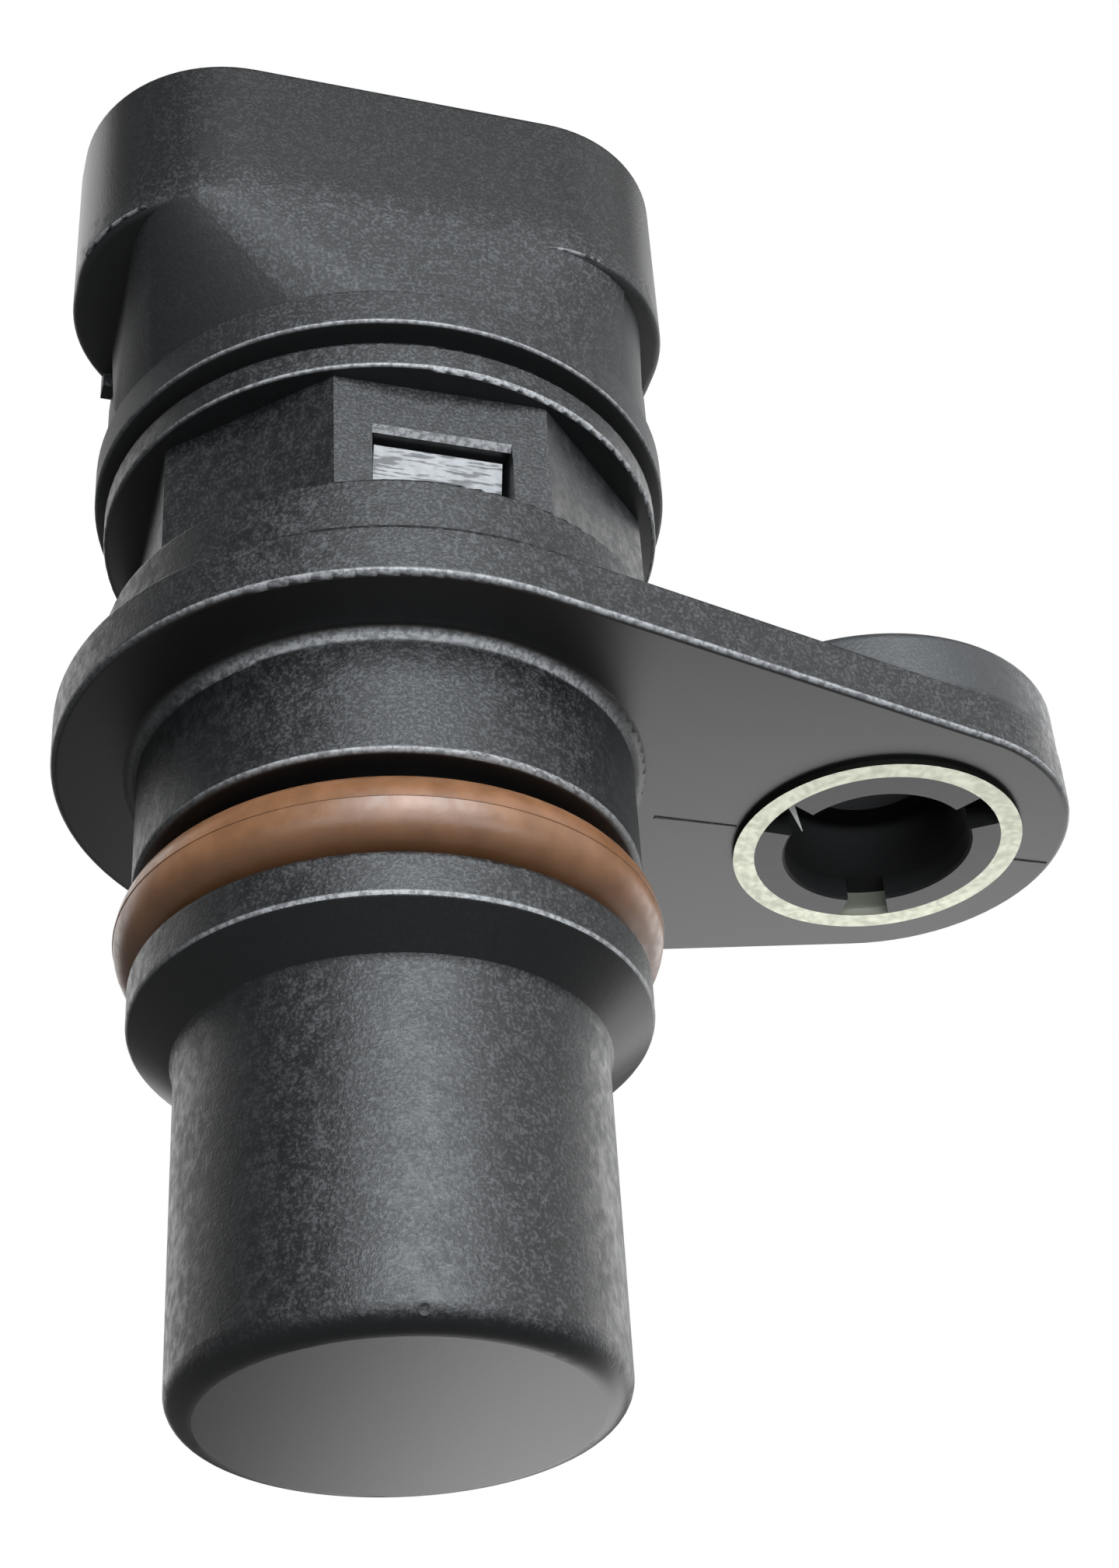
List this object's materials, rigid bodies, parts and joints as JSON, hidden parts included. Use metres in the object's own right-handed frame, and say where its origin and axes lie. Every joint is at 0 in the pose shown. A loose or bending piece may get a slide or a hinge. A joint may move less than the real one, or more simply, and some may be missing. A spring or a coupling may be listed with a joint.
{
  "type": "camshaft position sensor",
  "caption": "Plug-in camshaft position sensor with a sealed round barrel, a bolt tab with a metal sleeve and an oval plug socket.",
  "frame": {"origin": "barrel axis at the flange's underside, where the flange meets the engine", "axes": "+Z along the barrel towards the plug socket, +X to the bolt tab, -Y to the side the shroud is flush with"},
  "size_m": [0.0476, 0.0292, 0.0596],
  "materials": {
    "housing_plastic": "black glass-filled moulding, satin with a fine speckle",
    "connector_plastic": "black glass-filled moulding, satin",
    "sleeve_metal": "zinc plated, pale yellow passivation",
    "retainer_plastic": "black moulding",
    "brown_rubber": "brown fluoro rubber, matte",
    "carrier_plastic": "light grey moulding",
    "black_rubber": "black rubber",
    "chip_epoxy": "black moulded package",
    "soft_iron": "plain turned iron",
    "magnet_metal": "sintered, uncoated",
    "board_laminate": "green lacquered laminate",
    "capacitor_ceramic": "tan ceramic",
    "resistor_body": "black film on ceramic",
    "terminal_metal": "tin plated brass strip",
    "lead_metal": "tinned lead frame"
  },
  "bodies": {
    "root": {"housing": "housing_plastic", "connector_body": "connector_plastic", "compression_limiter": "sleeve_metal", "bolt_retainer": "retainer_plastic", "o_ring": "brown_rubber", "carrier": "carrier_plastic", "carrier_seal": "black_rubber", "hall_ic": "chip_epoxy", "pole_piece": "soft_iron", "magnet": "magnet_metal", "circuit_board": "board_laminate", "capacitor_supply": "capacitor_ceramic", "capacitor_output": "capacitor_ceramic", "resistor_pullup": "resistor_body", "terminal_supply": "terminal_metal", "terminal_ground": "terminal_metal", "terminal_signal": "terminal_metal", "lead_supply": "lead_metal", "lead_ground": "lead_metal", "lead_signal": "lead_metal"}
  },
  "joints": []
}
